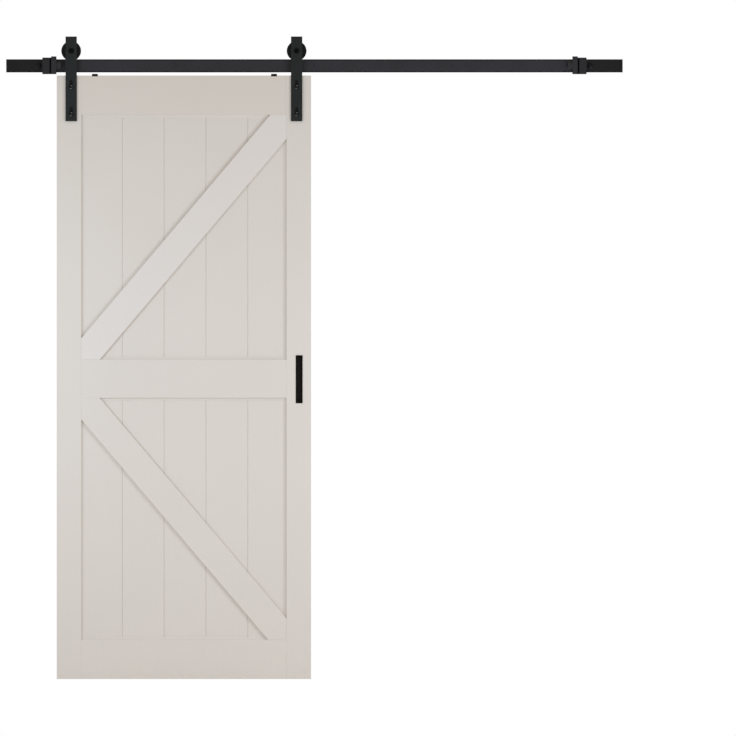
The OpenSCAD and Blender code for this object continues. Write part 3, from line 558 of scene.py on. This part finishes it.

# ---------------------------------------------------------------- planks
# Five tongued and grooved planks in each panel, 15 mm thick and 148 mm wide, with 1.5 mm chamfers that
# meet as V joints. They stand in the grooves of the frame behind a bevelled bead, and are sprayed with
# it; soft brown lines in the corners are painted shade.
plank_front_y = -35 * MM
plank_t = 15 * MM
plank_pitch = 148 * MM
v_cut = 1.5 * MM
tongue = (6 * MM, 5 * MM)
ease = 0.1 * MM
housed = 7 * MM
plank_shift = 4 * MM
planks_in_panel = 5
# the painted shade lines lie no deeper than this, so that the planks' backs stay plain
shade_lines_to_y = -30 * MM

plank_tree, given = new_tree("row_of_planks", {
    "Planks": "Int", "Pitch": "Float", "Length": "Float", "First Edge": "Float",
    "Last Edge": "Float", "Shift": "Float", "Finish": "Material"})
grown = add(plank_tree, "ShaderNodeCombineXYZ", {}, {"Z": given.outputs["Length"]})
tall = add(plank_tree, "GeometryNodeExtrudeMesh", {"mode": "FACES"},
           {"Mesh": given.outputs["Geometry"], "Offset": grown.outputs[0],
            "Offset Scale": 1.0, "Individual": False})
foot = add(plank_tree, "GeometryNodeFlipFaces", {}, {0: given.outputs["Geometry"]})
open_plank = add(plank_tree, "GeometryNodeJoinGeometry", {},
                 {0: [tall.outputs["Mesh"], foot.outputs[0]]})
plank = add(plank_tree, "GeometryNodeMergeByDistance", {},
            {"Geometry": open_plank.outputs[0], "Distance": 2e-6})
stride = add(plank_tree, "ShaderNodeCombineXYZ", {}, {"X": given.outputs["Pitch"]})
line = add(plank_tree, "GeometryNodeMeshLine", {"mode": "OFFSET"},
           {"Count": given.outputs["Planks"], "Offset": stride.outputs[0]})
planks = add(plank_tree, "GeometryNodeInstanceOnPoints", {},
             {"Points": line.outputs[0], "Instance": plank.outputs[0]})
loose = add(plank_tree, "GeometryNodeRealizeInstances", {}, {0: planks.outputs[0]})
# the joints stand a little to the right: the first plank is wider on its left by the shift,
# and the last one, which has no tongue, is sawn off where it stands in the stile
spot = add(plank_tree, "GeometryNodeInputPosition", {}, {})
axes = add(plank_tree, "ShaderNodeSeparateXYZ", {}, {0: spot.outputs[0]})
near_end = add(plank_tree, "ShaderNodeMath", {"operation": "ADD"},
               {0: given.outputs["First Edge"], 1: 5 * housed})
at_first = add(plank_tree, "ShaderNodeMath", {"operation": "LESS_THAN"},
               {0: axes.outputs["X"], 1: near_end.outputs[0]})
taken = add(plank_tree, "ShaderNodeMath", {"operation": "MULTIPLY"},
            {0: at_first.outputs[0], 1: given.outputs["Shift"]})
wider = add(plank_tree, "ShaderNodeMath", {"operation": "SUBTRACT"},
            {0: axes.outputs["X"], 1: taken.outputs[0]})
sawn = add(plank_tree, "ShaderNodeMath", {"operation": "MINIMUM"},
           {0: wider.outputs[0], 1: given.outputs["Last Edge"]})
kept = add(plank_tree, "ShaderNodeCombineXYZ", {},
           {"X": sawn.outputs[0], "Y": axes.outputs["Y"], "Z": axes.outputs["Z"]})
trimmed = add(plank_tree, "GeometryNodeSetPosition", {},
              {"Geometry": loose.outputs[0], "Position": kept.outputs[0]})
clean = add(plank_tree, "GeometryNodeMergeByDistance", {},
            {"Geometry": trimmed.outputs[0], "Distance": 2e-6})
painted = add(plank_tree, "GeometryNodeSetMaterial", {},
              {"Geometry": clean.outputs[0], "Material": given.outputs["Finish"]})
add(plank_tree, "NodeGroupOutput", {}, {0: painted.outputs[0]})


def plank_section(x, z):
    """The face of one plank's end at height z, groove on the left and tongue on the right."""
    left, right = x + ease, x + plank_pitch - ease
    front, back = plank_front_y, plank_front_y + plank_t
    middle = (front + back) / 2
    reach, half_t = tongue[0], tongue[1] / 2
    groove_half, groove_end = half_t + ease, left + reach + ease
    outline = [(left + v_cut, front), (left, front + v_cut), (left, middle - groove_half),
               (groove_end, middle - groove_half), (groove_end, middle + groove_half),
               (left, middle + groove_half), (left, back - v_cut), (left + v_cut, back),
               (right - v_cut, back), (right, back - v_cut), (right, middle + half_t),
               (right + reach, middle + half_t), (right + reach, middle - half_t),
               (right, middle - half_t), (right, front + v_cut), (right - v_cut, front)]
    mesh = bpy.data.meshes.new("plank_section")
    mesh.from_pydata([(a, b, z) for a, b in outline], [], [list(range(len(outline)))])
    if mesh.polygons[0].normal.z < 0:
        mesh.flip_normals()
    return mesh


brace_half = 49.5 * MM


def panel_paint(name, opening, lines, brace_spot, brace_normal, brace_weights):
    """The frame's paint with painted shade: soft brown lines beside the stiles, under the rail above, and
    along the edges of the brace. A line is the side it lies on, how far in it is and half its width, both
    in mm, and how strong it is. The brace's two edges have their strengths at foot and head."""
    finish, tree, place, tone, shader = sprayed_paint(name)
    low, high = opening
    offset = add(tree, "ShaderNodeVectorMath", {"operation": "SUBTRACT"},
                 {0: place, 1: (low + high) / 2})
    parts = add(tree, "ShaderNodeSeparateXYZ", {}, {0: offset.outputs[0]})
    half_w, half_h = (high.x - low.x) / 2, (high.z - low.z) / 2
    from_side = {"left": ("X", 1.0, half_w), "right": ("X", -1.0, half_w), "top": ("Z", -1.0, half_h)}
    # each line's distance is a measure, its sign and what is added; then its width and strength
    measures = []
    for where, inset, half, weight in lines:
        axis, sign, reach = from_side[where]
        measures.append((parts.outputs[axis], sign, reach - inset * MM, half, weight))
    for sign, (at_foot, at_head) in zip((-1.0, 1.0), brace_weights):
        from_brace = add(tree, "ShaderNodeVectorMath", {"operation": "SUBTRACT"},
                         {0: place, 1: brace_spot})
        across = add(tree, "ShaderNodeVectorMath", {"operation": "DOT_PRODUCT"},
                     {0: from_brace.outputs[0], 1: brace_normal})
        along = add(tree, "ShaderNodeMapRange", {},
                    {"Value": parts.outputs["Z"], "From Min": -half_h, "From Max": half_h,
                     "To Min": at_foot, "To Max": at_head})
        measures.append((across.outputs["Value"], sign, -brace_half - 0.8 * MM, 2.6, along.outputs[0]))
    strongest = 0.0
    for measure, sign, added, half, weight in measures:
        depth = add(tree, "ShaderNodeMath", {"operation": "MULTIPLY_ADD"},
                    {0: measure, 1: sign, 2: added})
        away = add(tree, "ShaderNodeMath", {"operation": "ABSOLUTE"}, {0: depth.outputs[0]})
        line = add(tree, "ShaderNodeMapRange", {"interpolation_type": "SMOOTHSTEP"},
                   {"Value": away.outputs[0], "From Max": half * MM, "To Min": 1.0, "To Max": 0.0})
        faded = add(tree, "ShaderNodeMath", {"operation": "MULTIPLY"}, {0: line.outputs[0], 1: weight})
        strongest = add(tree, "ShaderNodeMath", {"operation": "MAXIMUM"},
                        {0: strongest, 1: faded.outputs[0]}).outputs[0]
    deep = add(tree, "ShaderNodeSeparateXYZ", {}, {0: place})
    in_front = add(tree, "ShaderNodeMath", {"operation": "LESS_THAN"},
                   {0: deep.outputs["Y"], 1: shade_lines_to_y})
    shown = add(tree, "ShaderNodeMath", {"operation": "MULTIPLY"},
                {0: strongest, 1: in_front.outputs[0]})
    # painted shade: the lines mix the paint towards a dark brown
    shade_lined = add(tree, "ShaderNodeMix", {"data_type": "RGBA"},
                {0: shown.outputs[0], 6: tone.outputs[2], 7: srgb("#6b6350")})
    tree.links.new(shade_lined.outputs[2], shader.inputs["Base Color"])
    return finish


stile_shade_lines = [("left", 2.4, 2.6, 0.18), ("right", 0.0, 1.8, 0.34)]
panels = {
    "upper": {"foot": 1 * MM, "head": 7.5 * MM, "turn": 1, "top": 0.05,
              "edges": ((0.03, 0.18), (0.16, 0.02))},
    "lower": {"foot": 0.0, "head": 0.0, "turn": -1, "top": 0.1, "edges": ()}}
for panel, facts in panels.items():
    first_low, first_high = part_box(f"{panel}_plank_1")
    last_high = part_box(f"{panel}_plank_{planks_in_panel}")[1]
    opening = (Vector((first_low.x + housed, 0, first_low.z + housed)),
               Vector((last_high.x - housed, 0, last_high.z - housed)))
    wide = opening[1].x - opening[0].x + facts["head"] - facts["foot"]
    tall = opening[1].z - opening[0].z
    slant = math.atan2(tall, wide) * facts["turn"]
    normal = (math.sin(slant), 0.0, -math.cos(slant))
    middle = (opening[0] + opening[1]) / 2 + Vector(((facts["head"] + facts["foot"]) / 2, 0, 0))
    paint = panel_paint(f"sprayed_{panel}_panel", opening, stile_shade_lines + [("top", 0.6, 2.4, facts["top"])],
                        middle, normal, facts["edges"])
    row = stand_up(f"{panel}_plank_row", plank_section(first_low.x + plank_shift, first_low.z))
    apply_tree(row, plank_tree, {"Planks": planks_in_panel, "Pitch": plank_pitch,
                                 "Length": first_high.z - first_low.z, "First Edge": first_low.x,
                                 "Last Edge": last_high.x, "Shift": plank_shift, "Finish": paint})
    made_plain(row)
    planks = [f"{panel}_plank_{i + 1}" for i in range(planks_in_panel)]
    fit(row, paint, "leaf_paint", "door_leaf", *planks)
    bead = soft_copy(f"{panel}_bevelled_bead", f"{panel}_panel_bead", 0.15 * MM)
    fit(bead, paint, "leaf_paint", "door_leaf", f"{panel}_panel_bead")

# ---------------------------------------------------------------- braces
# One board 99 mm wide runs from corner to corner of each panel, cut to fit, glued and pinned to the
# planks from behind, flush with the frame. The upper one is sprayed a paler tone.
brace_paint = sprayed_paint("sprayed_brace_board", "#ded7d1", "#e0dad4")[0]
for panel, paint in (("upper", brace_paint), ("lower", frame_paint)):
    brace = soft_copy(f"{panel}_brace_board", f"{panel}_brace", 0.5 * MM)
    fit(brace, paint, "leaf_paint", "door_leaf", f"{panel}_brace")

# ---------------------------------------------------------------- dowels
# Twelve fluted beech dowels pin the rails to the stiles. They are glued in and stay out of
# sight: pale pinkish wood with fine flecks along the grain.
beech, tree, place = new_finish("plain_beech")
stretched = add(tree, "ShaderNodeMapping", {}, {"Vector": place, "Scale": (60, 900, 900)})
fleck = add(tree, "ShaderNodeTexNoise", {},
            {"Vector": stretched.outputs[0], "Scale": 1.0, "Detail": 3.0})
tone = add(tree, "ShaderNodeMix", {"data_type": "RGBA"},
           {0: fleck.outputs["Fac"], 6: srgb("#b8946a"), 7: srgb("#d8ba90")})
top_surface(tree, tone.outputs[2], 0.6, (fleck.outputs["Fac"], 0.5, 0.05), {})
coat_node("frame_dowels", beech)

# ---------------------------------------------------------------- hanger straps
# Two steel straps, 40 by 5 by 300 mm, laser cut with upright slots for the bolts, deburred and powder
# coated. A strip of black rubber lies behind each to save the paint; showing through the slots above the
# bolts, its black stands in for shade there.
# painted shade: the black strip seen through the slots gives the dark marks above the bolts
strip_rubber = black_rubber("moulded_rubber_strip", "#0f0f0f", "#1b1b1c", 0.25)
strap_coat = powder_coat("strap_powder_coat", "#171c1c", "#1e2322")[0]
for side in ("left", "right"):
    strip = soft_copy(f"{side}_backing_strip", f"{side}_strap_pad", 0.2 * MM)
    fit(strip, strip_rubber, "black_rubber", "door_leaf", f"{side}_strap_pad")
    strap = soft_copy(f"{side}_strap", f"{side}_hanger_strap", 0.6 * MM)
    fit(strap, strap_coat, "hanger_black", "door_leaf", f"{side}_hanger_strap")

# ---------------------------------------------------------------- door bolts
# Four button-head bolts, 10 mm, with 6 mm hexagon sockets, blacked. They pass through the
# slots and the stiles into sleeve nuts, zinc plated, that sink into the back.
bolt_r = 5 * MM
button_r = 8.75 * MM
button_h = 5 * MM
strap_face_y = -51.5 * MM
low_bolt_z = -171.25 * MM
bolt_rise = 96 * MM
strap_xs = (-861 * MM, -63 * MM)
dome_r = (button_h ** 2 + button_r ** 2) / (2 * button_h)


def dome_y(radius):
    """Where the button's dome stands along Y, at a distance from its middle."""
    return strap_face_y - button_h + dome_r - math.sqrt(dome_r ** 2 - radius ** 2)


socket = hexagon(6 * MM)
socket_lip = hexagon(6.6 * MM)
button_rings = [(0.6 * bolt_r, -20 * MM), (bolt_r, -22 * MM), (bolt_r, strap_face_y),
                (button_r, strap_face_y)]
button_rings += [(button_r * s, dome_y(button_r * s)) for s in (0.98, 0.92, 0.82, 0.7, 0.56)]
button_rings += [(socket_lip, lambda a: dome_y(socket_lip(a))),
                 (socket, lambda a: dome_y(socket(a)) + 0.3 * MM), (socket, strap_face_y - 2 * MM),
                 (1.5 * MM, strap_face_y - 1.5 * MM)]
button = turned(button_rings, 48, False)
# painted highlight: two spots on each crown, one above and one below the socket, are marked for glints
rubbed = button.attributes.new("rubbed", "FLOAT", "POINT")
for i, vertex in enumerate(button.vertices):
    across = math.hypot(vertex.co.x, vertex.co.z)
    on_crown = 0.5 * button_r < across < 0.75 * button_r and vertex.co.y < strap_face_y
    upright = across > 0 and abs(vertex.co.z + 0.25 * vertex.co.x) > 0.93 * across
    rubbed.data[i].value = 0.75 if on_crown and upright else 0.0
button.transform(Matrix.Translation((0, 0, low_bolt_z)))
upper_button = button.copy()
upper_button.transform(Matrix.Translation((0, 0, bolt_rise)))
pair = bmesh.new()
pair.from_mesh(button)
pair.from_mesh(upper_button)
pair.to_mesh(button)
pair.free()
buttons = row_of("button_head_bolts", button, blacked, 2, (strap_xs[0], 0, 0),
                 (strap_xs[1] - strap_xs[0], 0, 0))
fit(buttons, blacked, "hanger_black", "door_leaf", "door_bolts")
sleeves = soft_copy("sleeve_nut_set", "door_sleeve_nuts", 0.3 * MM)
fit(sleeves, zinc, "zinc_steel", "door_leaf", "door_sleeve_nuts")

# ---------------------------------------------------------------- axles
# Each wheel turns on a 10 mm hexagon bolt through the strap, blacked, with a bush in front of
# the bearing and a washer and lock nut behind it, all zinc plated.
# heat-treated steel quenched in oil: a dense matt black that hardly reflects
oiled, tree, _, _, tone, rough = patchy_finish("oil_blacked_steel", 5, 3.0, ("#030303", "#080808"),
                                               (0.4, 0.55))
top_surface(tree, tone.outputs[2], rough, None, {"Specular IOR Level": 0.06})

wheel_z = 52.95 * MM
bush_profile = [(5.05, -46.5), (6.6, -46.5), (7, -46.1), (7, -32.4), (6.6, -32), (5.05, -32)]
for side, x in zip(("left", "right"), strap_xs):
    rings = [(4.4 * MM, -11.5 * MM), (5 * MM, -12.2 * MM), (5 * MM, strap_face_y)]
    rings += hexagon_head(17 * MM, strap_face_y, strap_face_y - 6.4 * MM, math.pi / 6)
    axle = turned(rings, 48, False)
    axle.transform(Matrix.Translation((x, 0, wheel_z)))
    fit(smooth_piece(f"{side}_axle", axle), oiled, "hanger_black", "door_leaf", f"{side}_axle_bolt")
    bush = turned([(r * MM, y * MM) for r, y in bush_profile], 48, True)
    bush.transform(Matrix.Translation((x, 0, wheel_z)))
    fit(smooth_piece(f"{side}_bush", bush), zinc, "zinc_steel", "door_leaf", f"{side}_axle_bush")
washers = soft_copy("axle_washer_pair", "axle_washers", 0.3 * MM)
fit(washers, zinc, "zinc_steel", "door_leaf", "axle_washers")
nuts = soft_copy("lock_nut_pair", "axle_nuts", 0.4 * MM)
fit(nuts, zinc, "zinc_steel", "door_leaf", "axle_nuts")

# ---------------------------------------------------------------- wheels
# Grooved wheels turned from black nylon, 70 mm across and 20 mm wide, with dished faces and
# flanges that straddle the rail, pressed over a sealed ball bearing.
# turned nylon: near black with a waxy sheen. The tool leaves fine rings 0.8 mm apart, drawn
# twice as coarse as they are so that they show
nylon, tree, _, _, tone, rough = patchy_finish("turned_nylon", 11, 3.0, ("#0e0f0f", "#171818"),
                                               (0.36, 0.5))
ring_step = 1.6 * MM
reach = add(tree, "ShaderNodeAttribute", {"attribute_name": "reach"}, {})
rings = add(tree, "ShaderNodeMath", {"operation": "MULTIPLY"},
            {0: reach.outputs["Fac"], 1: 2 * math.pi / ring_step})
swing = add(tree, "ShaderNodeMath", {"operation": "SINE"}, {0: rings.outputs[0]})
# painted shade: towards the edge of the flanges the nylon is mixed towards near black
rim_share = add(tree, "ShaderNodeMapRange", {"interpolation_type": "SMOOTHSTEP"},
                {"Value": reach.outputs["Fac"], "From Min": 32.6 * MM, "From Max": 34.0 * MM})
rim_shaded = add(tree, "ShaderNodeMix", {"data_type": "RGBA"},
             {0: rim_share.outputs[0], 6: tone.outputs[2], 7: srgb("#020202")})
top_surface(tree, rim_shaded.outputs[2], rough, (swing.outputs[0], 0.35, 0.03), {"Specular IOR Level": 0.2})

# ground and polished chrome steel: cool, bright, almost without texture
bearing_steel, tree, place = new_finish("ground_bearing_steel")
haze = add(tree, "ShaderNodeTexNoise", {}, {"Vector": place, "Scale": 1000 / 3, "Detail": 2.0})
rough = add(tree, "ShaderNodeMapRange", {},
            {"Value": haze.outputs["Fac"], "To Min": 0.12, "To Max": 0.22})
top_surface(tree, srgb("#c3c5c8"), rough.outputs[0], None, {"Metallic": 1.0})

wheel_y = -27.5 * MM
# radius and place across the wheel, in mm: one face, one flange, the groove, the other
# flange and face, and the seat of the bearing
wheel_profile = [(15.05, 9.6), (15.45, 10), (17.4, 10), (18, 9.8), (19.3, 8.7), (20, 8.5), (26, 8.5),
                 (26.7, 8.7), (27.7, 9.8), (28.3, 10), (33.6, 10), (34.3, 9.8), (34.8, 9.2), (35, 8.5),
                 (35, 7.0), (34.8, 6.5), (30.2, 4.1), (29.6, 3.7), (29.4, 3.1), (29.4, -3.1),
                 (29.6, -3.7), (30.2, -4.1), (34.8, -6.5), (35, -7.0), (35, -8.5), (34.8, -9.2),
                 (34.3, -9.8), (33.6, -10), (28.3, -10), (27.7, -9.8), (26.7, -8.7), (26, -8.5),
                 (20, -8.5), (19.3, -8.7), (18, -9.8), (17.4, -10), (13.4, -10), (13.05, -9.6),
                 (13.05, -4.5), (15.05, -4.5)]

ball_tree, given = new_tree("ring_of_balls", {
    "Balls": "Int", "Ring Radius": "Float", "Ball Radius": "Float", "Centre": "Vector",
    "Finish": "Material"})
spots = add(ball_tree, "GeometryNodeMeshCircle", {},
            {"Vertices": given.outputs["Balls"], "Radius": given.outputs["Ring Radius"]})
upright = add(ball_tree, "GeometryNodeTransform", {},
              {"Geometry": spots.outputs[0], "Translation": given.outputs["Centre"],
               "Rotation": (math.radians(90), 0.0, 0.0)})
ball = add(ball_tree, "GeometryNodeMeshUVSphere", {},
           {"Segments": 24, "Rings": 14, "Radius": given.outputs["Ball Radius"]})
ring = add(ball_tree, "GeometryNodeInstanceOnPoints", {},
           {"Points": upright.outputs[0], "Instance": ball.outputs["Mesh"]})
solid = add(ball_tree, "GeometryNodeRealizeInstances", {}, {0: ring.outputs[0]})
steel = add(ball_tree, "GeometryNodeSetMaterial", {},
            {"Geometry": solid.outputs[0], "Material": given.outputs["Finish"]})
add(ball_tree, "NodeGroupOutput", {}, {0: steel.outputs[0]})

for side, x in zip(("left", "right"), strap_xs):
    mesh = turned([(r * MM, y * MM) for r, y in wheel_profile], 128, True)
    mesh.transform(Matrix.Translation((x, wheel_y, wheel_z)))
    reach = mesh.attributes.new("reach", "FLOAT", "POINT")
    for i, vertex in enumerate(mesh.vertices):
        reach.data[i].value = math.hypot(vertex.co.x - x, vertex.co.z - wheel_z)
    wheel = smooth_piece(f"{side}_nylon_wheel", mesh)
    fit(wheel, nylon, "wheel_nylon", f"{side}_wheel", f"{side}_wheel")
    coat_node(f"{side}_bearing_outer_ring", bearing_steel)
    coat_node(f"{side}_bearing_inner_ring", bearing_steel)
    balls = stand_up(f"{side}_ball_set", bpy.data.meshes.new("balls"))
    apply_tree(balls, ball_tree, {"Balls": 8, "Ring Radius": 10.6 * MM, "Ball Radius": 2.5 * MM,
                                  "Centre": (x, wheel_y, wheel_z), "Finish": bearing_steel})
    made_plain(balls)
    balls.data.shade_smooth()
    fit(balls, bearing_steel, "bearing_steel", f"{side}_wheel", f"{side}_bearing_balls")

# ---------------------------------------------------------------- flush pull
# A shallow finger pull, 24 by 170 mm, cast in zinc alloy and lacquered black, let into the
# right stile with its rim on the face. Two countersunk screws hold it from inside.
# semi-gloss lacquer: deep black, with a sheen that breaks softly over the casting's peel
lacquer, tree, place, _, tone, rough = patchy_finish("black_lacquer", 18, 3.0, ("#020202", "#060505"),
                                                     (0.34, 0.46))
# painted light: down in the recess the black is mixed towards a warmer, lighter tone
deep = add(tree, "ShaderNodeSeparateXYZ", {}, {0: place})
recess_light_share = add(tree, "ShaderNodeMapRange", {},
                   {"Value": deep.outputs["Y"], "From Min": -45.5 * MM, "From Max": -35 * MM})
lacquered = add(tree, "ShaderNodeMix", {"data_type": "RGBA"},
                {0: recess_light_share.outputs[0], 6: tone.outputs[2], 7: srgb("#2b2826")})
peel = add(tree, "ShaderNodeTexNoise", {}, {"Vector": place, "Scale": 1000 / 1.6, "Detail": 1.0})
top_surface(tree, lacquered.outputs[2], rough, (peel.outputs["Fac"], 0.4, 0.02),
            {"Specular IOR Level": 0.07})
fit(soft_copy("finger_pull", "flush_pull", 0.7 * MM), lacquer, "pull_black", "door_leaf", "flush_pull")
coat_node("pull_screws", lacquer)

# ---------------------------------------------------------------- anti-jump discs
# Two black nylon discs, moulded with a rounded upper edge. They are sunk 3 mm into notches in
# the top of the leaf and screwed down, 5 mm below the rail, so that the leaf can't lift off.

# straight from a polished mould: a deep black with a small, clear gloss
gloss_nylon, tree, _, _, tone, rough = patchy_finish("moulded_gloss_nylon", 8, 2.0,
                                                     ("#050505", "#0a0a0a"), (0.14, 0.22))
top_surface(tree, tone.outputs[2], rough, None, {"Specular IOR Level": 0.3})
disc_foot_z = -37.25 * MM
disc_profile = [(2.55, 0), (10.3, 0), (10.5, 0.2), (10.5, 7.9), (10.3, 8.5), (9.8, 8.9), (9.2, 9),
                (4.9, 9), (2.55, 6.7)]
for side, x in (("left", -777 * MM), ("right", -143 * MM)):
    mesh = turned(disc_profile, 64, True)
    mesh.transform(Matrix.Scale(MM, 4))
    mesh.transform(Matrix.Translation((x, wheel_y, disc_foot_z))
                   @ Matrix.Rotation(math.radians(90), 4, "X"))
    disc = smooth_piece(f"{side}_disc", mesh)
    fit(disc, gloss_nylon, "disc_black", "door_leaf", f"{side}_antijump_disc")
coat_node("antijump_screws", zinc)
